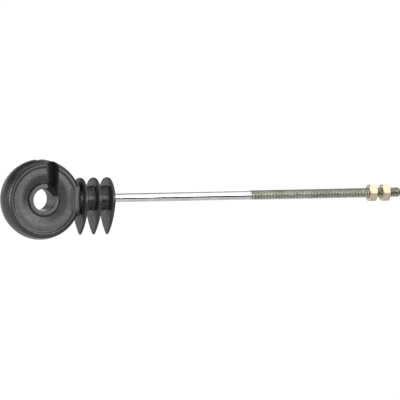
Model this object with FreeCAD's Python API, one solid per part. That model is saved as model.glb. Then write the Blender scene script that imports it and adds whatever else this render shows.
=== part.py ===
import FreeCAD, Part
import os
from math import asin, cos, pi, radians, sin, sqrt, tan

# Ring insulator on a long threaded rod, for electric fence wire. Millimetres.
# The origin is the centre of the wire eye. +X runs along the rod from the ring to
# the nuts, +Z is up, and the front of the ring faces -Y.
# The insulator is one plastic moulding: ring, neck, core and three hanging sheds.

# Ring
ring_radius = 25.1
ring_thickness = 17.0       # over the crests
rim_taper = 12.5            # degrees, from the rim's middle to both faces
rim_softness = 6.0          # radius of the bend in the rim's middle
rim_rounding = 3.0          # radius of the shoulders between rim and crests
crest_radius = 20.5         # inner edge of the crest that runs round each face
crest_width = 1.4           # of the slope inside it
face_recess = 0.5           # flat face below the crest
dish_radius = 16.0          # where the flat face starts to fall towards the eye
dish_softness = 20.0        # radius of that bend
dish_depth = 1.8            # face around the eye below the crest
face_softness = 2.0         # radius of the other bends in the face

# Wire eye and its raised collars, a whole one at the back and most of one at the front
eye_radius = 7.0
collar_width = 3.0
collar_height = 0.9
collar_start = 3.3          # degrees from +X, seen from the front
collar_end = 102.3
collar_edge = 0.4

# Wire slots. The front one lies behind the leaning edge of a flap, and the narrower
# back one lies behind that flap, so the wire goes through them at a slant
slot_right = 9.35           # straight side wall
slot_left_at_eye = 2.9      # the leaning edge of the flap, at the eye
slot_left_at_rim = 0.6      # and at the rim
slot_floor = 2.6            # of each slot, beyond the ring's middle plane
slot_floor_curve = 11.4     # radius that carries the floor out to the face
slot_foot = 1.9             # height where the slot ends above the eye's centre
slot_lip = 0.8              # how far the side wall leans in at the mouth
slot_lip_height = 3.2
flap_corner_at_rim = 2.2
flap_corner_at_eye = 1.2
back_slot_left = -2.9
back_slot_right = 1.3
foot_groove_width = 0.7
foot_groove_depth = 0.8
rim_clearance = 0.04        # keeps the flap corner's tangent line just off the rim

# Neck, core and sheds
neck_start = 16.0
neck_end = 24.0
neck_proud = 0.2            # block in front of the crests, both faces
neck_height = 21.8
neck_corner = 4.4
neck_end_rounding = 1.6
core_radius = 7.75
core_end = 46.6
core_end_chamfer = 0.8
shed_count = 3
first_shed = 26.4           # middle plane of the first shed
shed_pitch = 8.9
shed_radius = 13.5          # of the round upper part
shed_sink = 0.5             # centre of that part below the rod's axis
shed_side_radius = 36.0     # of the sides that run down to the nose
shed_drop = 22.5            # from the rod's axis to the tip of the nose
shed_nose_radius = 1.4
shed_root_thickness = 2.2
shed_tip_thickness = 1.4
shed_root_fillet = 1.2
shed_rim_rounding = 0.55

# Threaded rod, M6. The thread is rolled, so the plain blank has its pitch radius
thread_radius = 3.0
thread_pitch = 1.0
pitch_line_depth = 0.325    # of the pitch, below the thread's crests
rod_end = 237.2
thread_length = 99.2        # from the rod's end
tip_chamfer = 0.8
anchor_start = 15.6         # end of the rod inside the moulding
anchor_flat_length = 7.0
anchor_flat_thickness = 3.9
anchor_head_length = 2.0

# Hexagon nuts
nut_across_flats = 10.0
nut_thickness = 5.0
nut_bore_clearance = 0.05
nut_chamfer_angle = 30.0
nut_washer_face_radius = 4.75
nut_countersink = 0.45
inner_nut_setback = 20.7    # its left face, from the rod's end
nut_gap = 3.55

margin = 2.0                # how far cutters run past the solid
blank_radius = thread_radius - pitch_line_depth * thread_pitch
half_thickness = ring_thickness / 2
eye_face = half_thickness - dish_depth
X_AXIS = FreeCAD.Vector(1, 0, 0)
Y_AXIS = FreeCAD.Vector(0, 1, 0)
Z_AXIS = FreeCAD.Vector(0, 0, 1)
ORIGIN = FreeCAD.Vector(0, 0, 0)


def rounded_outline(corners):
    """Closed wire through (point, radius) corners, with a tangent arc at each rounded one."""
    starts, middles, ends = [], [], []
    for i, (point, radius) in enumerate(corners):
        before = (corners[i - 1][0] - point).normalize()
        after = (corners[(i + 1) % len(corners)][0] - point).normalize()
        half_angle = before.getAngle(after) / 2
        reach = radius / tan(half_angle)
        bisector = (before + after).normalize() if radius else before
        starts.append(point + before * reach)
        ends.append(point + after * reach)
        middles.append(point + bisector * (radius / sin(half_angle) - radius))
    edges = []
    for i, (point, radius) in enumerate(corners):
        if radius:
            edges.append(Part.Arc(starts[i], middles[i], ends[i]).toShape())
        following = starts[(i + 1) % len(corners)]
        edges.append(Part.LineSegment(ends[i], following).toShape())
    return Part.Wire(edges)


def section(triples):
    """Closed wire in the X-Y plane from (x, y, rounding) triples, half of what is turned."""
    return rounded_outline([(FreeCAD.Vector(x, y, 0), rounding) for x, y, rounding in triples])


def ring_blank():
    """The full ring, turned about the eye's axis: a tapered rim and dished faces with a crest."""
    taper = radians(rim_taper)
    flat_level = half_thickness - face_recess
    rim_middle = ring_radius + rim_softness * (1 / cos(taper) - 1)
    front = [
        (eye_radius, -eye_face, 0),
        (eye_radius + collar_width, -eye_face, face_softness),
        (dish_radius, -flat_level, dish_softness),
        (crest_radius - crest_width, -flat_level, face_softness),
        (crest_radius, -half_thickness, face_softness),
        (rim_middle - half_thickness * tan(taper), -half_thickness, rim_rounding),
    ]
    back = [(r, -y, rounding) for r, y, rounding in reversed(front)]
    profile = Part.Face(section(front + [(rim_middle, 0, rim_softness)] + back))
    return profile.revolve(ORIGIN, Y_AXIS, 360)


def collar(sweep):
    """A raised rib on the front face, from +X clockwise round the eye."""
    profile = section([
        (eye_radius, -eye_face + collar_height, 0),
        (eye_radius, -eye_face - collar_height, collar_edge),
        (eye_radius + collar_width, -eye_face - collar_height, collar_edge),
        (eye_radius + collar_width, -eye_face + collar_height, 0),
    ])
    return Part.Face(profile).revolve(ORIGIN, Y_AXIS, sweep)


def front_slot():
    """Cutter for the front slot: a floor that curves out to the face, between flap and wall."""
    top = ring_radius + margin
    front = -half_thickness - margin
    bend = FreeCAD.Vector(0, slot_floor, slot_foot)
    side = rounded_outline([
        (FreeCAD.Vector(0, front, slot_foot), 0),
        (bend, slot_floor_curve),
        (FreeCAD.Vector(0, slot_floor, top), 0),
        (FreeCAD.Vector(0, front, top), 0),
    ])
    deep = Part.Face(side).extrude(X_AXIS * (2 * ring_radius))
    deep.translate(X_AXIS * -ring_radius)

    eye_edge_height = sqrt(eye_radius ** 2 - slot_left_at_eye ** 2)
    lean = (slot_left_at_eye - slot_left_at_rim) / (ring_radius - eye_edge_height)
    rim_level = ring_radius + rim_clearance
    flap_edge_at_rim = slot_left_at_rim - lean * rim_clearance
    past_corner = slot_left_at_rim - 2 * flap_corner_at_rim - margin
    lip_start = sqrt(ring_radius ** 2 - slot_right ** 2) - slot_lip_height
    lip_lean = slot_lip / slot_lip_height
    inside_eye = slot_left_at_eye - margin
    outline = rounded_outline([
        (FreeCAD.Vector(inside_eye, front, slot_foot), 0),
        (FreeCAD.Vector(slot_right, front, slot_foot), 0),
        (FreeCAD.Vector(slot_right, front, lip_start), face_softness),
        (FreeCAD.Vector(slot_right - lip_lean * (top - lip_start), front, top), 0),
        (FreeCAD.Vector(past_corner, front, top), 0),
        (FreeCAD.Vector(past_corner, front, rim_level), 0),
        (FreeCAD.Vector(flap_edge_at_rim, front, rim_level), flap_corner_at_rim),
        (FreeCAD.Vector(slot_left_at_eye, front, eye_edge_height), flap_corner_at_eye),
        (FreeCAD.Vector(inside_eye, front, sqrt(eye_radius ** 2 - inside_eye ** 2)), 0),
    ])
    wide = Part.Face(outline).extrude(Y_AXIS * (slot_floor - front + margin))
    return deep.common(wide)


def back_slot():
    """Cutter for the back slot and for the gap between the flaps, both straight down to the eye."""
    height = ring_radius + margin
    back = Part.makeBox(back_slot_right - back_slot_left, half_thickness + margin + slot_floor, height)
    gap = Part.makeBox(slot_left_at_eye - back_slot_left, 2 * slot_floor, height)
    cutter = back.fuse(gap)
    cutter.translate(FreeCAD.Vector(back_slot_left, -slot_floor, 0))
    return cutter


def foot_groove():
    """Cutter for the narrow groove that closes off the foot of the front slot."""
    length = slot_right - eye_radius + margin
    groove = Part.makeBox(length, margin + foot_groove_depth, foot_groove_width)
    groove.translate(FreeCAD.Vector(slot_right - length, -eye_face - margin, slot_foot))
    return groove


def ring():
    """Ring with its eye, collars, and the two slots that meet in the middle plane."""
    front_collar = collar(360 - (collar_end - collar_start)).rotated(ORIGIN, Y_AXIS, -collar_start)
    back_collar = collar(360).rotated(ORIGIN, Z_AXIS, 180)
    return ring_blank().fuse([front_collar, back_collar]).cut([front_slot(), back_slot(), foot_groove()])


def neck():
    """Square-shouldered block that carries the ring, flush with its crests."""
    depth = half_thickness + neck_proud
    height = neck_height / 2
    outline = rounded_outline([
        (FreeCAD.Vector(neck_start, y, z), neck_corner)
        for y, z in [(-depth, -height), (depth, -height), (depth, height), (-depth, height)]
    ])
    block = Part.Face(outline).extrude(X_AXIS * (neck_end - neck_start))
    ends = [edge for edge in block.Edges if edge.BoundBox.XLength < neck_end_rounding]
    return block.makeFillet(neck_end_rounding, ends)


def core():
    """Round stem between and beyond the sheds, round the rod."""
    profile = section([
        (core_end - core_end_chamfer, core_radius, 0),
        (core_end, core_radius - core_end_chamfer, 0),
        (core_end, 0, 0),
        (neck_end - neck_end_rounding, 0, 0),
        (neck_end - neck_end_rounding, core_radius, 0),
    ])
    return Part.Face(profile).revolve(ORIGIN, X_AXIS, 360)


def shed(middle):
    """One drip shed: a tapered disc whose sides run down in wide arcs to a hanging nose."""
    reach = shed_drop + margin
    foot = shed_root_thickness / 2 + shed_root_fillet
    half_profile = [
        (-foot, 0, 0),
        (-foot, core_radius, 0),
        (-shed_root_thickness / 2, core_radius, shed_root_fillet),
        (-shed_tip_thickness / 2, reach, 0),
    ]
    mirrored = [(-x, r, rounding) for x, r, rounding in reversed(half_profile)]
    disc = Part.Face(section(half_profile + mirrored)).revolve(ORIGIN, X_AXIS, 360)

    disc_centre = FreeCAD.Vector(-reach, 0, -shed_sink)
    nose_centre = FreeCAD.Vector(-reach, 0, shed_nose_radius - shed_drop)
    to_nose = disc_centre.z - nose_centre.z
    bulge = shed_side_radius - shed_radius
    nose_reach = shed_side_radius - shed_nose_radius
    lean = asin((nose_reach ** 2 - bulge ** 2 - to_nose ** 2) / (2 * bulge * to_nose))
    outward = FreeCAD.Vector(0, cos(lean), -sin(lean))
    shoulder = disc_centre + outward * shed_radius
    side_centre = disc_centre - outward * bulge
    nose_end = side_centre + (nose_centre - side_centre).normalize() * shed_side_radius
    halfway = (shoulder + nose_end - side_centre * 2).normalize()
    right = [shoulder, side_centre + halfway * shed_side_radius, nose_end]
    left = [FreeCAD.Vector(point.x, -point.y, point.z) for point in right]
    crown = disc_centre + Z_AXIS * shed_radius
    tip = nose_centre - Z_AXIS * shed_nose_radius
    outline = Part.Wire([
        Part.Arc(right[0], crown, left[0]).toShape(),
        Part.Arc(*left).toShape(),
        Part.Arc(left[2], tip, right[2]).toShape(),
        Part.Arc(*reversed(right)).toShape(),
    ])
    plate = disc.common(Part.Face(outline).extrude(X_AXIS * (2 * reach)))
    rims = [edge for edge in plate.Edges if edge.BoundBox.XLength < shed_root_thickness / 2
            and not edge.isClosed() and edge.Length > shed_nose_radius]
    plate = plate.makeFillet(shed_rim_rounding, rims)
    plate.translate(X_AXIS * middle)
    return plate


def rod():
    """Steel rod: flattened anchor end, plain rolled blank, threaded end with a chamfered tip."""
    thread_start = rod_end - thread_length
    profile = section([
        (anchor_start, 0, 0),
        (anchor_start, blank_radius, 0),
        (thread_start, blank_radius, 0),
        (thread_start, thread_radius, 0),
        (rod_end - tip_chamfer, thread_radius, 0),
        (rod_end, thread_radius - tip_chamfer, 0),
        (rod_end, 0, 0),
    ])
    bar = Part.Face(profile).revolve(ORIGIN, X_AXIS, 360)
    side = blank_radius + margin
    waste = Part.makeBox(anchor_flat_length, 2 * side, side)
    waste.translate(FreeCAD.Vector(anchor_start + anchor_head_length, -side, anchor_flat_thickness / 2))
    return bar.cut([waste, waste.rotated(ORIGIN, X_AXIS, 180)])


def nut(face):
    """Hexagon nut with a corner to the front, chamfered on both faces, and countersunk."""
    sides = 6
    corner_radius = nut_across_flats / 2 / cos(pi / sides)
    turns = [2 * pi * i / sides for i in range(sides + 1)]
    corners = [FreeCAD.Vector(0, corner_radius * cos(turn), corner_radius * sin(turn)) for turn in turns]
    prism = Part.Face(Part.makePolygon(corners)).extrude(X_AXIS * nut_thickness)
    bore = thread_radius + nut_bore_clearance
    slope = tan(radians(nut_chamfer_angle))
    chamfer = (corner_radius + margin - nut_washer_face_radius) * slope
    turned = section([
        (0, bore + nut_countersink, 0),
        (0, nut_washer_face_radius, 0),
        (chamfer, corner_radius + margin, 0),
        (nut_thickness - chamfer, corner_radius + margin, 0),
        (nut_thickness, nut_washer_face_radius, 0),
        (nut_thickness, bore + nut_countersink, 0),
        (nut_thickness - nut_countersink, bore, 0),
        (nut_countersink, bore, 0),
    ])
    hexagon = prism.common(Part.Face(turned).revolve(ORIGIN, X_AXIS, 360))
    hexagon.translate(X_AXIS * face)
    return hexagon


threaded_rod = rod()
sheds = [shed(first_shed + i * shed_pitch) for i in range(shed_count)]
insulator_body = ring().fuse([neck(), core()] + sheds).cut(threaded_rod).removeSplitter()
inner_nut_face = rod_end - inner_nut_setback
outer_nut_face = inner_nut_face + nut_thickness + nut_gap

os.makedirs("parts", exist_ok=True)
insulator_body.exportStep("parts/insulator_body.step")
threaded_rod.exportStep("parts/threaded_rod.step")
nut(inner_nut_face).exportStep("parts/inner_nut.step")
nut(outer_nut_face).exportStep("parts/outer_nut.step")
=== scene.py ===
from math import asin, cos, hypot, pi, radians, sin, sqrt, tan

import bpy
from mathutils import Matrix, Vector


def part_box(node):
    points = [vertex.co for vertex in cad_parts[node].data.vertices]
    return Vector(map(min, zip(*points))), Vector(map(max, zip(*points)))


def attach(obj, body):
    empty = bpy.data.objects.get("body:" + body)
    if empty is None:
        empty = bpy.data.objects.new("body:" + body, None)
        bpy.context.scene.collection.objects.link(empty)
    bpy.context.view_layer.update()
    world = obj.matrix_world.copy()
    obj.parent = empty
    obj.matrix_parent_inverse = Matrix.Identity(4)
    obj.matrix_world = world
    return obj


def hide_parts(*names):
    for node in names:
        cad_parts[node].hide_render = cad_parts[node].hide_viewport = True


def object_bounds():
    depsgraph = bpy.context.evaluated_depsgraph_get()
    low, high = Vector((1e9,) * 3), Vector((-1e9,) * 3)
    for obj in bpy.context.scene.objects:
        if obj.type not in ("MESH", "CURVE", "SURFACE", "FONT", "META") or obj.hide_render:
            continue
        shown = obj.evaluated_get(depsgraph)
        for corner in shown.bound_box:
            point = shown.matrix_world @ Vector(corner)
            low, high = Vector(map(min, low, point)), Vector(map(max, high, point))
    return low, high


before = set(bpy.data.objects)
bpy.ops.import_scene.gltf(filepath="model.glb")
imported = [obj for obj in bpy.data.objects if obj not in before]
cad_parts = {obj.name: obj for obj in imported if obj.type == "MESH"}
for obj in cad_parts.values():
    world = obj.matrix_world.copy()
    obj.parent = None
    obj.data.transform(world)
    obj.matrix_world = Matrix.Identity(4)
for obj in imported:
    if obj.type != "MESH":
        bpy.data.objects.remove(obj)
cad_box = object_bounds()

# Camera. The photograph was taken from far away, a little to the left of the ring's axis
# and a little above it, so it is matched by an orthographic view.
view_azimuth = -20
view_elevation = 3.2
view_width = 0.2484
view_distance = 1.2
aim_right = 0.09927
aim_down = 0.00037


def towards(azimuth, elevation):
    """The direction of a bearing from the front and a height above level, both in degrees."""
    azimuth, elevation = radians(azimuth), radians(elevation)
    return Vector((sin(azimuth) * cos(elevation), -cos(azimuth) * cos(elevation), sin(elevation)))


toward_camera = towards(view_azimuth, view_elevation)
view_right = Vector((cos(radians(view_azimuth)), sin(radians(view_azimuth)), 0))
view_up = toward_camera.cross(view_right)
aim = view_right * aim_right - view_up * aim_down
bpy.ops.object.select_all(action="DESELECT")
bpy.ops.object.camera_add(location=aim + toward_camera * view_distance)
camera = bpy.context.object
camera.name = "camera"
camera.rotation_euler = (-toward_camera).to_track_quat("-Z", "Y").to_euler()
camera.data.type = "ORTHO"
camera.data.ortho_scale = view_width
bpy.context.scene.camera = camera
bpy.context.scene.view_settings.view_transform = "Standard"

# Threaded rod: a length of zinc-plated steel wire. Two flats are pressed at one end, which
# keep it from turning in the moulding, and an M6 thread is rolled on the other end.
mm = 0.001
rod_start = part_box("threaded_rod")[0].x
rod_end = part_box("threaded_rod")[1].x
thread_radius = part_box("threaded_rod")[1].z
thread_pitch = 1.0 * mm
thread_start = rod_end - 99.2 * mm
thread_steps = 36
thread_turns = 104
thread_depth = 0.6134 * thread_pitch
thread_root_low = 0.025 * mm
thread_root_high = 0.075 * mm
thread_crest_edge = 0.03 * mm
thread_trim = 0.513
thread_overshoot = 2
rolled_from = 0.3 * mm
# The next value is how far below the crests the painted shade in the thread's roots has faded out.
root_shade_crest_gap = 0.1 * mm
blank_radius = 2.675 * mm
blank_overlap = 0.2 * mm
runout = 1.7 * mm
envelope_play = 0.01 * mm
tip_chamfer = 0.8 * mm
anchor_head = 2.0 * mm
anchor_flat_length = 7.0 * mm
anchor_flat_height = 1.95 * mm
rod_steps = 96
smooth_below = radians(28)
merge_distance = 0.002 * mm
cut_precision = 0.0001 * mm


def draw_line(name, points):
    """Adds a line of edges through the points, by extruding one vertex, and leaves it in edit mode."""
    bpy.ops.object.select_all(action="DESELECT")
    bpy.ops.mesh.primitive_plane_add(size=mm)
    bpy.context.object.name = name
    bpy.ops.object.mode_set(mode="EDIT")
    bpy.ops.mesh.select_mode(type="VERT")
    bpy.ops.mesh.merge(type="CENTER")
    bpy.ops.transform.translate(value=points[0])
    for here, there in zip(points, points[1:]):
        bpy.ops.mesh.extrude_vertices_move(TRANSFORM_OT_translate={"value": there - here})
    bpy.ops.mesh.select_all(action="SELECT")


def close_up():
    """Merges the doubles of the mesh in edit mode, turns its faces outwards and leaves edit mode."""
    bpy.ops.mesh.select_all(action="SELECT")
    bpy.ops.mesh.remove_doubles(threshold=merge_distance)
    bpy.ops.mesh.normals_make_consistent(inside=False)
    bpy.ops.object.mode_set(mode="OBJECT")
    return bpy.context.object


def turned(name, points, axis, steps):
    """Turns a profile once round an axis through the origin."""
    draw_line(name, points)
    bpy.ops.mesh.spin(steps=steps, angle=2 * pi, center=(0, 0, 0), axis=axis)
    return close_up()


def lathe(name, profile, steps):
    """Turns a profile of (x, radius) points once round the X axis."""
    return turned(name, [Vector((x, 0, radius)) for x, radius in profile], (1, 0, 0), steps)


def block(name, low, high):
    """A box between two corners, left in edit mode."""
    bpy.ops.object.select_all(action="DESELECT")
    bpy.ops.mesh.primitive_cube_add(size=1)
    bpy.context.object.name = name
    bpy.ops.object.mode_set(mode="EDIT")
    bpy.ops.transform.resize(value=high - low)
    bpy.ops.transform.translate(value=(low + high) / 2)


def combine(piece, tool, operation):
    """Joins the tool to the piece, cuts it away or keeps what they share, and removes the tool."""
    bpy.ops.object.select_all(action="DESELECT")
    bpy.context.view_layer.objects.active = piece
    piece.select_set(True)
    bpy.ops.object.modifier_add(type="BOOLEAN")
    boolean = piece.modifiers[-1]
    boolean.object = tool
    boolean.operation = operation
    boolean.solver = "MANIFOLD"
    bpy.ops.object.modifier_apply(modifier=boolean.name)
    bpy.data.objects.remove(tool)


def thread(name, start, turns, crest, play):
    """A solid right-hand thread along X: one pitch of its profile, screwed round the axis."""
    root = crest - thread_depth
    flank = [(0, root), (0.09, root + thread_root_low), (0.13, root + thread_root_high),
             (0.43, crest - thread_crest_edge), (0.46, crest)]
    profile = flank + [(1 - x, radius) for x, radius in reversed(flank)]
    draw_line(name, [Vector((start + x * thread_pitch, 0, radius + play)) for x, radius in profile])
    bpy.ops.object.mode_set(mode="OBJECT")
    bpy.ops.object.modifier_add(type="SCREW")
    screw = bpy.context.object.modifiers[-1]
    screw.axis = "X"
    screw.steps = screw.render_steps = thread_steps
    screw.iterations = turns
    screw.screw_offset = thread_pitch
    bpy.ops.object.modifier_apply(modifier=screw.name)
    bpy.ops.object.mode_set(mode="EDIT")
    for turn, outward in ((1 + thread_trim, -1), (turns - thread_trim, 1)):
        bpy.ops.mesh.select_all(action="SELECT")
        bpy.ops.mesh.remove_doubles(threshold=merge_distance)
        bpy.ops.mesh.bisect(plane_co=(start + turn * thread_pitch, 0, 0), plane_no=(outward, 0, 0),
                            use_fill=True, clear_outer=True, threshold=cut_precision)
    return close_up()


rod_thread_start = rod_end - (thread_turns - thread_overshoot) * thread_pitch
rod = thread("rod", rod_thread_start, thread_turns, thread_radius, play=0)
envelope = lathe("envelope", [
    (thread_start, 0),
    (thread_start, blank_radius),
    (thread_start + runout, thread_radius + envelope_play),
    (rod_end - tip_chamfer, thread_radius + envelope_play),
    (rod_end, thread_radius - tip_chamfer),
    (rod_end, 0),
], rod_steps)
combine(rod, envelope, "INTERSECT")
blank = lathe("blank", [
    (rod_start, 0),
    (rod_start, blank_radius),
    (thread_start + blank_overlap, blank_radius),
    (thread_start + runout, blank_radius - thread_depth),
    (thread_start + runout, 0),
], rod_steps)
for low, high in ((anchor_flat_height, thread_radius), (-thread_radius, -anchor_flat_height)):
    block("press",
          Vector((rod_start + anchor_head, -thread_radius, low)),
          Vector((rod_start + anchor_head + anchor_flat_length, thread_radius, high)))
    combine(blank, close_up(), "DIFFERENCE")
body_bore = blank.copy()
body_bore.data = blank.data.copy()
body_bore.name = "body_bore"
bpy.context.scene.collection.objects.link(body_bore)
combine(rod, blank, "UNION")
bpy.ops.object.shade_smooth_by_angle(angle=smooth_below)


def add_node(tree, kind, inputs=None, **settings):
    """Adds a shader node with its settings, and gives each named input a value or a link."""
    node = tree.nodes.new("ShaderNode" + kind)
    for name, value in settings.items():
        setattr(node, name, value)
    for name, value in (inputs or {}).items():
        if isinstance(value, bpy.types.NodeSocket):
            tree.links.new(value, node.inputs[name])
        else:
            node.inputs[name].default_value = value
    return node


def new_material(name, **constants):
    """A material with one shader, whose constant values are set on its own sockets."""
    material = bpy.data.materials.new(name)
    material.use_nodes = True
    tree = material.node_tree
    shader = tree.nodes["Principled BSDF"]
    for socket, value in constants.items():
        shader.inputs[socket.replace("_", " ")].default_value = value
    return material, tree, shader


def ramp(tree, value, low, high, start=0.0, end=1.0):
    """Eases from start to end while the value goes from low to high."""
    return add_node(tree, "MapRange", {
        "Value": value, "From Min": low, "From Max": high, "To Min": start, "To Max": end,
    }, interpolation_type="SMOOTHSTEP").outputs["Result"]


def blend(tree, amount, first, second):
    """Mixes two colours."""
    mix = add_node(tree, "Mix", data_type="RGBA")
    for socket, value in ((mix.inputs[0], amount), (mix.inputs[6], first), (mix.inputs[7], second)):
        if isinstance(value, bpy.types.NodeSocket):
            tree.links.new(value, socket)
        else:
            socket.default_value = value
    return mix.outputs[2]


def off_axis(tree, spot):
    """The distance of a spot from the X axis."""
    across = add_node(tree, "Math", {0: spot["Y"], 1: spot["Y"]}, operation="MULTIPLY").outputs[0]
    upward = add_node(tree, "Math", {0: spot["Z"], 1: spot["Z"]}, operation="MULTIPLY").outputs[0]
    total = add_node(tree, "Math", {0: across, 1: upward}, operation="ADD").outputs[0]
    return add_node(tree, "Math", {0: total, 1: 0.5}, operation="POWER").outputs[0]


def add_bump(tree, height, strength, distance, under=None):
    """A normal that follows a height, on top of another normal if one is given."""
    inputs = {"Height": height, "Strength": strength, "Distance": distance}
    if under is not None:
        inputs["Normal"] = under
    return add_node(tree, "Bump", inputs).outputs["Normal"]


mottle_contrast = (0.32, 0.68)
mottle_roughness = 0.55
mottle = bpy.data.node_groups.new("mottle", "ShaderNodeTree")
mottle.interface.new_socket("Place", in_out="INPUT", socket_type="NodeSocketVector")
for name in ("Patch Size", "Grain Size"):
    mottle.interface.new_socket(name, in_out="INPUT", socket_type="NodeSocketFloat")
for name in ("Patches", "Grain"):
    mottle.interface.new_socket(name, in_out="OUTPUT", socket_type="NodeSocketFloat")
mottle_inputs = mottle.nodes.new("NodeGroupInput").outputs
mottle_outputs = mottle.nodes.new("NodeGroupOutput").inputs
for size, output, detail in (("Patch Size", "Patches", 3.0), ("Grain Size", "Grain", 2.0)):
    scale = add_node(mottle, "Math", {0: 1.0, 1: mottle_inputs[size]}, operation="DIVIDE")
    noise = add_node(mottle, "TexNoise", {
        "Vector": mottle_inputs["Place"], "Scale": scale.outputs[0],
        "Detail": detail, "Roughness": mottle_roughness,
    })
    mottle.links.new(ramp(mottle, noise.outputs[0], *mottle_contrast), mottle_outputs[output])


def add_mottle(tree, place, patch_size, grain_size):
    """Places the shared unevenness of a surface in a material."""
    node = tree.nodes.new("ShaderNodeGroup")
    node.node_tree = mottle
    tree.links.new(place, node.inputs["Place"])
    node.inputs["Patch Size"].default_value = patch_size
    node.inputs["Grain Size"].default_value = grain_size
    return node.outputs


zinc_pale = (0.80, 0.81, 0.82, 1)
zinc_dull = (0.66, 0.67, 0.68, 1)
thread_crest = (0.80, 0.80, 0.71, 1)
thread_dull = (0.60, 0.60, 0.52, 1)
# The next colour is painted shade for the roots of the rolled thread.
thread_root_painted_shade = (0.18, 0.18, 0.14, 1)
draw_line_width = 0.12 * mm
draw_line_stretch = 0.02
draw_line_dulling = 0.35
blank_roughness = (0.09, 0.15)
thread_roughness = (0.30, 0.44)
bright_zinc, tree, shader = new_material("bright_zinc", Metallic=1.0)
place = add_node(tree, "TexCoord").outputs["Object"]
lengthwise = add_node(tree, "Mapping", {"Vector": place, "Scale": (draw_line_stretch, 1, 1)}).outputs[0]
drawn = add_mottle(tree, lengthwise, patch_size=1.2 * mm, grain_size=draw_line_width)
cloudy = add_mottle(tree, place, patch_size=6 * mm, grain_size=0.4 * mm)
spot = add_node(tree, "SeparateXYZ", {"Vector": place}).outputs
on_thread = ramp(tree, spot["X"], thread_start + rolled_from, thread_start + runout)
# Painted shade: the thread's grooves are painted darker toward their roots, fading out just below the crests.
root_shade_fade = ramp(tree, off_axis(tree, spot), thread_radius - thread_depth, thread_radius - root_shade_crest_gap)
plain_colour = blend(tree, cloudy["Patches"], zinc_pale, zinc_dull)
plain_colour = blend(tree, ramp(tree, drawn["Grain"], 0, 1, 0, draw_line_dulling), plain_colour, zinc_dull)
rolled_colour = blend(tree, cloudy["Patches"], thread_crest, thread_dull)
rolled_colour = blend(tree, root_shade_fade, thread_root_painted_shade, rolled_colour)
tree.links.new(blend(tree, on_thread, plain_colour, rolled_colour), shader.inputs["Base Color"])
plain_roughness = ramp(tree, drawn["Patches"], 0, 1, *blank_roughness)
rolled_roughness = ramp(tree, cloudy["Grain"], 0, 1, *thread_roughness)
roughness = add_node(tree, "Mix", {"Factor": on_thread, "A": plain_roughness, "B": rolled_roughness})
tree.links.new(roughness.outputs["Result"], shader.inputs["Roughness"])
tree.links.new(add_bump(tree, drawn["Grain"], strength=0.1, distance=0.0015 * mm), shader.inputs["Normal"])
rod.data.materials.clear()
rod.data.materials.append(bright_zinc)
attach(rod, "insulator")
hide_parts("threaded_rod")

# Insulator body: one moulding of black polypropylene, shot round the flattened end of the rod.
# Its ring has an eye for the wire and, at the top, two slots that overlap, one from each face.
ring_radius = -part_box("insulator_body")[0].x
half_thickness = 8.5 * mm
rim_taper = radians(11)
rim_softness = 14.0 * mm
rim_rounding = 2.6 * mm
crest_radius = 21.0 * mm
crest_width = 1.2 * mm
face_recess = 0.5 * mm
dish_radius = 16.0 * mm
dish_softness = 20.0 * mm
dish_depth = 1.8 * mm
face_softness = 2.0 * mm
eye_radius = 7.0 * mm
eye_face = half_thickness - dish_depth
collar_width = 3.0 * mm
collar_height = 0.9 * mm
collar_edge = 0.4 * mm
collar_groove = 0.45 * mm
collar_start = radians(3.3)
collar_end = radians(102.3)
collar_steps = 128
arc_step = radians(6)
ring_steps = 192
overlap = 0.02 * mm


def rounded(corners, closed=True):
    """Points of an outline through (point, radius) corners, with a tangent arc at each rounded one."""
    points = []
    for i, (corner, radius) in enumerate(corners):
        if not radius or not closed and i in (0, len(corners) - 1):
            points.append(corner)
            continue
        before = (corners[i - 1][0] - corner).normalized()
        after = (corners[(i + 1) % len(corners)][0] - corner).normalized()
        half_angle = before.angle(after) / 2
        centre = corner + (before + after).normalized() * radius / sin(half_angle)
        spoke = corner + before * radius / tan(half_angle) - centre
        turn = pi - 2 * half_angle
        steps = max(3, round(turn / arc_step))
        normal = after.cross(before)
        for step in range(steps + 1):
            points.append(centre + Matrix.Rotation(turn * step / steps, 3, normal) @ spoke)
    return points


def at(x, y):
    """A point of a section in the X-Y plane."""
    return Vector((x, y, 0))


flat_level = half_thickness - face_recess
rim_middle = ring_radius + rim_softness * (1 / cos(rim_taper) - 1)
front_face = [
    (at(eye_radius, -eye_face), 0),
    (at(eye_radius + collar_width, -eye_face), face_softness),
    (at(dish_radius, -flat_level), dish_softness),
    (at(crest_radius - crest_width, -flat_level), face_softness),
    (at(crest_radius, -half_thickness), face_softness),
    (at(rim_middle - half_thickness * tan(rim_taper), -half_thickness), rim_rounding),
]
back_face = [(at(corner.x, -corner.y), radius) for corner, radius in reversed(front_face)]
ring_outline = rounded(front_face + [(at(rim_middle, 0), rim_softness)] + back_face)
body = turned("body", ring_outline + ring_outline[:1], (0, 1, 0), ring_steps)

rib_low = -eye_face + collar_height
rib_high = -eye_face - collar_height
rib_outline = rounded([
    (at(eye_radius, rib_low), 0),
    (at(eye_radius, rib_high), collar_edge),
    (at(eye_radius + collar_width, rib_high), collar_edge),
    (at(eye_radius + collar_width, rib_low), 0),
])
draw_line("front_collar", rib_outline + rib_outline[:1])
bpy.ops.transform.rotate(value=collar_start, orient_axis="Y", center_override=(0, 0, 0))
bpy.ops.mesh.spin(steps=collar_steps, angle=2 * pi - collar_end + collar_start,
                  center=(0, 0, 0), axis=(0, -1, 0))
bpy.ops.mesh.select_all(action="SELECT")
bpy.ops.mesh.remove_doubles(threshold=merge_distance)
bpy.ops.mesh.fill_holes(sides=0)
combine(body, close_up(), "UNION")
back_rib = [at(point.x, -point.y) for point in rib_outline]
combine(body, turned("back_collar", back_rib + back_rib[:1], (0, 1, 0), ring_steps), "UNION")
groove_inside = eye_radius + collar_width - overlap
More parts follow.
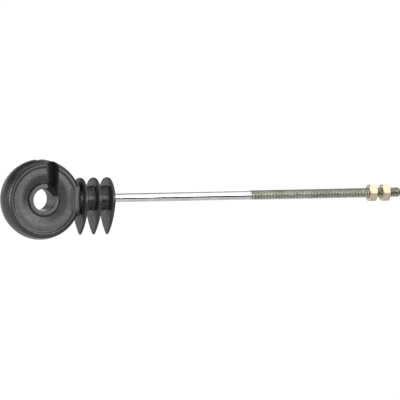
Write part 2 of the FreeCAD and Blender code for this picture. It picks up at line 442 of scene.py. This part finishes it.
for side in (-1, 1):
    combine(body, turned("collar_groove", [
        at(groove_inside, side * (eye_face - collar_groove)),
        at(groove_inside + collar_groove, side * (eye_face - collar_groove)),
        at(groove_inside + collar_groove, side * half_thickness),
        at(groove_inside, side * half_thickness),
        at(groove_inside, side * (eye_face - collar_groove)),
    ], (0, 1, 0), ring_steps), "DIFFERENCE")

# Entry slots, moulded in. The front one comes down from the rim behind a leaning flap, and
# its floor curves out to the face above the eye; the back one is narrower, behind that flap.
slot_right = 9.35 * mm
slot_left_at_eye = 2.9 * mm
slot_left_at_rim = 0.6 * mm
slot_floor = 2.6 * mm
slot_floor_curve = 11.4 * mm
slot_foot = 1.9 * mm
slot_lip = 0.8 * mm
slot_lip_height = 3.2 * mm
flap_corner_at_rim = 2.2 * mm
flap_corner_at_eye = 1.2 * mm
rim_clearance = 0.04 * mm
back_slot_left = -2.9 * mm
back_slot_right = 1.3 * mm
back_corner = 1.0 * mm
foot_groove_width = 0.9 * mm
foot_groove_depth = 1.3 * mm
past = 2.0 * mm


def select_edges(test):
    """Selects the edges of the mesh in edit mode that have both ends where the test says."""
    bpy.ops.mesh.select_mode(type="EDGE")
    bpy.ops.mesh.select_all(action="DESELECT")
    bpy.ops.object.mode_set(mode="OBJECT")
    mesh = bpy.context.object.data
    for edge in mesh.edges:
        edge.select = all(test(mesh.vertices[end].co) for end in edge.vertices)
    bpy.ops.object.mode_set(mode="EDIT")


def prism(name, outline, length):
    """Pushes a closed outline along a vector, and leaves the solid in edit mode."""
    draw_line(name, outline + outline[:1])
    bpy.ops.mesh.remove_doubles(threshold=merge_distance)
    bpy.ops.mesh.edge_face_add()
    bpy.ops.mesh.extrude_region_move(TRANSFORM_OT_translate={"value": length})


front = -half_thickness - past
top = ring_radius + past
eye_edge_height = sqrt(eye_radius ** 2 - slot_left_at_eye ** 2)
lean = (slot_left_at_eye - slot_left_at_rim) / (ring_radius - eye_edge_height)
rim_level = ring_radius + rim_clearance
past_corner = slot_left_at_rim - 2 * flap_corner_at_rim - past
lip_start = sqrt(ring_radius ** 2 - slot_right ** 2) - slot_lip_height
lip_lean = slot_lip / slot_lip_height
inside_eye = slot_left_at_eye - past
slot_outline = rounded([(Vector((x, front, z)), radius) for x, z, radius in (
    (inside_eye, slot_foot, 0),
    (slot_right, slot_foot, 0),
    (slot_right, lip_start, face_softness),
    (slot_right - lip_lean * (top - lip_start), top, 0),
    (past_corner, top, 0),
    (past_corner, rim_level, 0),
    (slot_left_at_rim - lean * rim_clearance, rim_level, flap_corner_at_rim),
    (slot_left_at_eye, eye_edge_height, flap_corner_at_eye),
    (inside_eye, sqrt(eye_radius ** 2 - inside_eye ** 2), 0),
)])
floor_outline = rounded([(Vector((-ring_radius, y, z)), radius) for y, z, radius in (
    (front - past, slot_foot, 0),
    (slot_floor, slot_foot, slot_floor_curve),
    (slot_floor, top + past, 0),
    (front - past, top + past, 0),
)])
prism("slot", slot_outline, Vector((0, slot_floor + past - front, 0)))
slot = close_up()
prism("floor", floor_outline, Vector((2 * ring_radius, 0, 0)))
combine(slot, close_up(), "INTERSECT")
combine(body, slot, "DIFFERENCE")
block("foot_groove",
      Vector((eye_radius - past, -eye_face - past, slot_foot)),
      Vector((slot_right, -eye_face + foot_groove_depth, slot_foot + foot_groove_width)))
combine(body, close_up(), "DIFFERENCE")
mouth = 2 * back_corner + past
back_outline = rounded([(Vector((x, -slot_floor, z)), radius) for x, z, radius in (
    (back_slot_left, 0, 0),
    (back_slot_left, rim_level, back_corner),
    (back_slot_left - mouth, rim_level, 0),
    (back_slot_left - mouth, top, 0),
    (back_slot_right + mouth, top, 0),
    (back_slot_right + mouth, rim_level, 0),
    (back_slot_right, rim_level, back_corner),
    (back_slot_right, 0, 0),
)])
prism("back_slot", back_outline, Vector((0, slot_floor - front, 0)))
combine(body, close_up(), "DIFFERENCE")
block("middle_gap", Vector((back_slot_left, -slot_floor, 0)), Vector((slot_left_at_eye, slot_floor, top)))
combine(body, close_up(), "DIFFERENCE")

# Neck and core: the square-shouldered block that carries the ring, and the round stem
# behind it, both of the same shot as the ring.
neck_start = 16.0 * mm
neck_full = 20.6 * mm
neck_end = 24.0 * mm
neck_start_sink = 0.15 * mm
neck_half_depth = half_thickness - overlap
neck_half_height = 10.9 * mm
neck_corner = 4.4 * mm
neck_end_rounding = 1.6 * mm
neck_end_segments = 8
core_radius = 7.75 * mm
core_end = 46.6 * mm
core_end_chamfer = 0.8 * mm
core_steps = 128
level_play = 0.01 * mm
neck_outline = rounded([
    (Vector((neck_full, side * neck_half_depth, level * neck_half_height)), neck_corner)
    for side, level in ((-1, -1), (1, -1), (1, 1), (-1, 1))
])
prism("neck", neck_outline, Vector((neck_end - neck_full, 0, 0)))
select_edges(lambda co: abs(co.x - neck_full) < level_play)
bpy.ops.mesh.extrude_region_move(TRANSFORM_OT_translate={"value": (neck_start - neck_full, 0, 0)})
narrower = (flat_level - neck_start_sink) / neck_half_depth
bpy.ops.transform.resize(value=(1, narrower, 1), center_override=(0, 0, 0))
select_edges(lambda co: abs(co.x - neck_end) < level_play)
bpy.ops.mesh.bevel(offset=neck_end_rounding, segments=neck_end_segments)
combine(body, close_up(), "UNION")
core_start = neck_end - neck_end_rounding
combine(body, lathe("core", [
    (core_start, 0),
    (core_start, core_radius),
    (core_end - core_end_chamfer, core_radius),
    (core_end, core_radius - core_end_chamfer),
    (core_end, 0),
], core_steps), "UNION")

# Drip sheds: three tapered discs on the core, moulded with it. Rain runs down each one and
# off its hanging nose, so that no wet path joins the ring to the rod.
shed_count = 3
first_shed = 26.4 * mm
shed_pitch = 8.9 * mm
shed_radius = 13.5 * mm
shed_sink = 0.5 * mm
shed_side_radius = 36.0 * mm
shed_drop = 22.5 * mm
shed_nose_radius = 1.4 * mm
shed_root_half = 1.1 * mm
shed_tip_half = 0.7 * mm
shed_root_fillet = 1.2 * mm
shed_rim_rounding = 0.55 * mm
shed_rim_segments = 5
arc_least_radius = 5 * mm


def arc(centre, radius, start, end):
    """Points of an arc in the Y-Z plane, between two angles from +Y."""
    steps = max(2, round(abs(end - start) * max(radius, arc_least_radius) / mm))
    angles = [start + (end - start) * step / steps for step in range(steps + 1)]
    return [centre + Vector((0, cos(angle), sin(angle))) * radius for angle in angles]


disc_centre = Vector((-shed_root_half, 0, -shed_sink))
nose_centre = Vector((-shed_root_half, 0, shed_nose_radius - shed_drop))
to_nose = disc_centre.z - nose_centre.z
bulge = shed_side_radius - shed_radius
nose_reach = shed_side_radius - shed_nose_radius
shed_lean = asin((nose_reach ** 2 - bulge ** 2 - to_nose ** 2) / (2 * bulge * to_nose))
side_centre = disc_centre + Vector((0, -cos(shed_lean), sin(shed_lean))) * bulge
nose_lean = asin((side_centre.z - nose_centre.z) / nose_reach)
half_outline = (
    arc(disc_centre, shed_radius, pi / 2, -shed_lean)
    + arc(side_centre, shed_side_radius, -shed_lean, -nose_lean)[1:]
    + arc(nose_centre, shed_nose_radius, -nose_lean, -pi / 2)[1:]
)
shed_outline = half_outline + [Vector((p.x, -p.y, p.z)) for p in reversed(half_outline[1:-1])]
shed_slope = (shed_root_half - shed_tip_half) / (shed_drop + past - core_radius)
for shed_number in range(shed_count):
    middle = first_shed + shed_number * shed_pitch
    prism("shed", shed_outline, Vector((2 * shed_root_half, 0, 0)))
    bpy.ops.object.mode_set(mode="OBJECT")
    shed = bpy.context.object
    for vertex in shed.data.vertices:
        thinning = shed_slope * (hypot(vertex.co.y, vertex.co.z) - core_radius)
        vertex.co.x -= thinning * (1 if vertex.co.x > 0 else -1)
    bpy.ops.object.mode_set(mode="EDIT")
    for side in (1, -1):
        select_edges(lambda co: co.x * side > 0)
        bpy.ops.mesh.bevel(offset=shed_rim_rounding, segments=shed_rim_segments)
    bpy.ops.mesh.select_mode(type="FACE")
    bpy.ops.mesh.select_all(action="DESELECT")
    bpy.ops.object.mode_set(mode="OBJECT")
    for face in shed.data.polygons:
        face.select = len(face.vertices) > 4
    bpy.ops.object.mode_set(mode="EDIT")
    bpy.ops.mesh.poke()
    bpy.ops.object.mode_set(mode="OBJECT")
    for vertex in shed.data.vertices:
        if hypot(vertex.co.y, vertex.co.z) < core_radius:
            side = 1 if vertex.co.x > 0 else -1
            vertex.co = (side * (shed_root_half + shed_slope * core_radius), 0, 0)
    bpy.ops.object.mode_set(mode="EDIT")
    bpy.ops.mesh.select_all(action="SELECT")
    bpy.ops.transform.translate(value=(middle, 0, 0))
    combine(body, close_up(), "UNION")
    foot = shed_root_half + shed_root_fillet
    root_radius = core_radius + overlap
    half_root = [
        (Vector((middle - foot, 0, 0)), 0),
        (Vector((middle - foot, 0, root_radius)), 0),
        (Vector((middle - shed_root_half, 0, root_radius)), shed_root_fillet),
        (Vector((middle - shed_root_half, 0, root_radius + shed_root_fillet)), 0),
    ]
    other_half = [
        (Vector((2 * middle - corner.x, 0, corner.z)), radius) for corner, radius in reversed(half_root)
    ]
    root_outline = rounded(half_root + other_half, closed=False)
    combine(body, turned("root", root_outline, (1, 0, 0), core_steps), "UNION")

# Finish of the moulding: the rod's seat is opened, and every edge gets the small round that
# a worn mould leaves.
edge_round = 0.2 * mm
edge_round_passes = 5
edge_round_strength = 0.5
triangle_budget = 190000
combine(body, body_bore, "DIFFERENCE")
bpy.ops.object.select_all(action="DESELECT")
bpy.context.view_layer.objects.active = body
body.select_set(True)
body.data.remesh_voxel_size = edge_round
bpy.ops.object.voxel_remesh()
bpy.ops.object.modifier_add(type="SMOOTH")
body.modifiers[-1].factor = edge_round_strength
body.modifiers[-1].iterations = edge_round_passes
bpy.ops.object.modifier_apply(modifier=body.modifiers[-1].name)
bpy.ops.object.modifier_add(type="DECIMATE")
body.modifiers[-1].ratio = triangle_budget / (2 * len(body.data.polygons))
bpy.ops.object.modifier_apply(modifier=body.modifiers[-1].name)
bpy.ops.object.shade_smooth()

plastic_dark = (0.014, 0.014, 0.015, 1)
plastic_pale = (0.022, 0.021, 0.023, 1)
plastic_roughness = (0.25, 0.32)
black_plastic, tree, shader = new_material("black_plastic")
place = add_node(tree, "TexCoord").outputs["Object"]
skin = add_mottle(tree, place, patch_size=5 * mm, grain_size=0.22 * mm)
flow = add_mottle(tree, place, patch_size=1.6 * mm, grain_size=0.8 * mm)
tree.links.new(blend(tree, skin["Patches"], plastic_dark, plastic_pale), shader.inputs["Base Color"])
tree.links.new(ramp(tree, flow["Patches"], 0, 1, *plastic_roughness), shader.inputs["Roughness"])
waves = add_bump(tree, skin["Patches"], strength=0.5, distance=0.02 * mm)
grained = add_bump(tree, skin["Grain"], strength=0.25, distance=0.002 * mm, under=waves)
tree.links.new(grained, shader.inputs["Normal"])
body.data.materials.clear()
body.data.materials.append(black_plastic)
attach(body, "insulator")
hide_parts("insulator_body")

# Nuts: two M6 hexagon nuts of yellow-passivated steel, cold formed, tapped and chamfered on
# both faces. They clamp the post's wall between them.
nut_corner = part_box("inner_nut")[1].y
nut_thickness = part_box("inner_nut")[1].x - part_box("inner_nut")[0].x
nut_washer_face_radius = 4.75 * mm
nut_chamfer_angle = radians(30)
nut_bore_radius = 2.5 * mm
nut_thread_play = 0.03 * mm
nut_countersink_radius = 3.5 * mm
nut_reach = nut_corner + mm
nut_tap_turns = 12
nut_tap_lead = 3
green_from = 0.45
green_share = 0.8
nut_roughness = (0.24, 0.36)
nut_pattern_shift = (0.05, 0.02, 0.07)
passivated_gold = (0.84, 0.72, 0.46, 1)
passivated_pink = (0.80, 0.64, 0.52, 1)
passivated_green = (0.70, 0.72, 0.48, 1)
# The next colour is painted shade for the inside of the nut's tapped bore.
bore_painted_shade = (0.30, 0.22, 0.14, 1)
yellow_zinc, tree, shader = new_material("yellow_zinc", Metallic=1.0)
place = add_node(tree, "TexCoord").outputs["Object"]
film = add_mottle(tree, place, patch_size=3.5 * mm, grain_size=0.3 * mm)
elsewhere = add_node(tree, "Mapping", {"Vector": place, "Location": nut_pattern_shift}).outputs[0]
tint = add_mottle(tree, elsewhere, patch_size=2.4 * mm, grain_size=0.15 * mm)
colour = blend(tree, film["Patches"], passivated_gold, passivated_pink)
colour = blend(tree, ramp(tree, tint["Patches"], green_from, 1, 0, green_share), colour, passivated_green)
spot = add_node(tree, "SeparateXYZ", {"Vector": place}).outputs
# Painted shade: the bore is painted dark brown, fading out across the countersink toward its edge.
painted_bore_shade_mask = ramp(tree, off_axis(tree, spot), thread_radius, nut_countersink_radius, 1, 0)
tree.links.new(blend(tree, painted_bore_shade_mask, colour, bore_painted_shade), shader.inputs["Base Color"])
tree.links.new(ramp(tree, tint["Grain"], 0, 1, *nut_roughness), shader.inputs["Roughness"])
tree.links.new(add_bump(tree, film["Grain"], strength=0.3, distance=0.01 * mm), shader.inputs["Normal"])
chamfer = (nut_reach - nut_washer_face_radius) * tan(nut_chamfer_angle)
cone_low = nut_washer_face_radius - mm / tan(nut_chamfer_angle)
funnel_mouth = nut_countersink_radius + mm
funnel = nut_countersink_radius - nut_bore_radius
for node in ("inner_nut", "outer_nut"):
    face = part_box(node)[0].x
    far_face = face + nut_thickness
    bpy.ops.object.select_all(action="DESELECT")
    bpy.ops.mesh.primitive_cylinder_add(vertices=6, radius=nut_corner, depth=nut_thickness)
    nut = bpy.context.object
    nut.name = node + "_piece"
    bpy.ops.object.mode_set(mode="EDIT")
    bpy.ops.transform.rotate(value=pi / 2, orient_axis="Y", center_override=(0, 0, 0))
    bpy.ops.transform.translate(value=(face + nut_thickness / 2, 0, 0))
    close_up()
    combine(nut, lathe("cones", [
        (face - mm, 0),
        (face - mm, cone_low),
        (face + chamfer, nut_reach),
        (far_face - chamfer, nut_reach),
        (far_face + mm, cone_low),
        (far_face + mm, 0),
    ], rod_steps), "INTERSECT")
    combine(nut, lathe("bore", [
        (face - mm, 0),
        (face - mm, funnel_mouth),
        (face + funnel, nut_bore_radius),
        (far_face - funnel, nut_bore_radius),
        (far_face + mm, funnel_mouth),
        (far_face + mm, 0),
    ], rod_steps), "DIFFERENCE")
    tap_start = rod_end - (round((rod_end - face) / thread_pitch) + nut_tap_lead) * thread_pitch
    tap = thread("tap", tap_start, nut_tap_turns, thread_radius, play=nut_thread_play)
    combine(nut, tap, "DIFFERENCE")
    bpy.ops.object.shade_smooth_by_angle(angle=smooth_below)
    nut.data.materials.clear()
    nut.data.materials.append(yellow_zinc)
    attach(nut, node)
    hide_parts(node)

# Studio. A pale floor lies well below the insulator and fades to the white of the backdrop.
# Soft panels glow round it, three small soft lamps stand near the ring, and a black card,
# which the camera doesn't see, gives the bright rod its dark line.
floor_level = -150 * mm
floor_half = 4.0
floor_clear_radius = 180 * mm
floor_fade_radius = 400 * mm
floor_pale = (0.82, 0.82, 0.82, 1)
floor_dull = (0.74, 0.74, 0.74, 1)
floor_speckle = 0.06
pure_white = (1, 1, 1, 1)
middle_of_object = (cad_box[0] + cad_box[1]) / 2
bpy.ops.object.select_all(action="DESELECT")
bpy.ops.mesh.primitive_plane_add(size=2 * floor_half)
floor = bpy.context.object
floor.name = "studio_floor"
bpy.ops.object.mode_set(mode="EDIT")
bpy.ops.transform.translate(value=(middle_of_object.x, middle_of_object.y, floor_level))
bpy.ops.object.mode_set(mode="OBJECT")
pale_floor, tree, shader = new_material("pale_floor", Roughness=0.9)
place = add_node(tree, "TexCoord").outputs["Object"]
centred = (-middle_of_object.x, 0, -floor_level)
spot = add_node(tree, "Mapping", {"Vector": place, "Location": centred}).outputs[0]
distance = add_node(tree, "VectorMath", {0: spot}, operation="LENGTH").outputs["Value"]
speckle = add_mottle(tree, place, patch_size=60 * mm, grain_size=0.5 * mm)["Grain"]
speckle = ramp(tree, speckle, 0, 1, 0, floor_speckle)
tree.links.new(blend(tree, speckle, floor_pale, floor_dull), shader.inputs["Base Color"])
seen = add_node(tree, "LightPath").outputs["Is Camera Ray"]
faded = ramp(tree, distance, floor_clear_radius, floor_fade_radius)
amount = add_node(tree, "Math", {0: seen, 1: faded}, operation="MULTIPLY").outputs[0]
glow = add_node(tree, "Emission", {"Color": pure_white, "Strength": 1.0}).outputs[0]
mixed = add_node(tree, "MixShader", {0: amount, 1: shader.outputs[0], 2: glow})
tree.links.new(mixed.outputs[0], tree.nodes["Material Output"].inputs["Surface"])
floor.data.materials.append(pale_floor)

card_low = Vector((75 * mm, -121 * mm, -85 * mm))
card_high = Vector((360 * mm, -120 * mm, 4 * mm))
block("black_card", card_low, card_high)
card = close_up()
card_black, tree, shader = new_material("card_black", Roughness=0.9, Base_Color=(0.02, 0.02, 0.02, 1))
card.data.materials.append(card_black)
card.visible_camera = False

sky_level = 0.03
# Each panel's bearing, height and reach in degrees, and its level.
sky_panels = (
    (0, 4, 20, 1.2),
    (-40, 4, 20, 1.0),
    (-60, 4, 20, 1.3),
    (-120, 4, 20, 1.5),
    (-160, 4, 20, 0.9),
    (160, 4, 20, 1.8),
    (-175, 18, 18, 0.4),
    (-112, 18, 18, 2.4),
    (-68, 18, 18, 0.8),
    (-45, 18, 18, 1.5),
    (45, 18, 18, 0.7),
    (158, 18, 18, 0.2),
    (-60, 36, 22, 1.0),
    (25, 36, 24, 1.5),
    (60, 36, 22, 1.0),
    (120, 36, 22, 1.9),
    (20, 62, 22, 1.2),
    (-135, 60, 26, 0.8),
    (-45, 60, 26, 0.8),
    (0, 90, 40, 0.9),
)
world = bpy.data.worlds.new("studio")
bpy.context.scene.world = world
world.use_nodes = True
tree = world.node_tree
way = add_node(tree, "TexCoord").outputs["Generated"]
brightness = sky_level
for azimuth, elevation, reach, level in sky_panels:
    nearness = add_node(tree, "VectorMath", {0: way, 1: towards(azimuth, elevation)}, operation="DOT_PRODUCT")
    panel = ramp(tree, nearness.outputs["Value"], cos(radians(reach)), 1, 0, level)
    brightness = add_node(tree, "Math", {0: brightness, 1: panel}, operation="ADD").outputs[0]
seen = add_node(tree, "LightPath").outputs["Is Camera Ray"]
brightness = add_node(tree, "Mix", {"Factor": seen, "A": brightness, "B": 1.0}).outputs["Result"]
tree.links.new(brightness, tree.nodes["Background"].inputs["Strength"])
tree.nodes["Background"].inputs["Color"].default_value = pure_white


def softbox(name, azimuth, elevation, distance, size, power):
    """A square soft lamp that stands in the given direction from the ring and faces it."""
    direction = towards(azimuth, elevation)
    bpy.ops.object.select_all(action="DESELECT")
    bpy.ops.object.light_add(type="AREA", location=direction * distance)
    lamp = bpy.context.object
    lamp.name = name
    lamp.rotation_euler = (-direction).to_track_quat("-Z", "Y").to_euler()
    lamp.data.shape = "SQUARE"
    lamp.data.size = size
    lamp.data.energy = power
    lamp.visible_camera = False


softbox("front_lamp", azimuth=25, elevation=4, distance=0.18, size=0.08, power=0.088)
softbox("right_lamp", azimuth=42, elevation=4, distance=0.25, size=0.115, power=0.10)
softbox("left_lamp", azimuth=-55, elevation=4, distance=0.40, size=0.20, power=0.72)
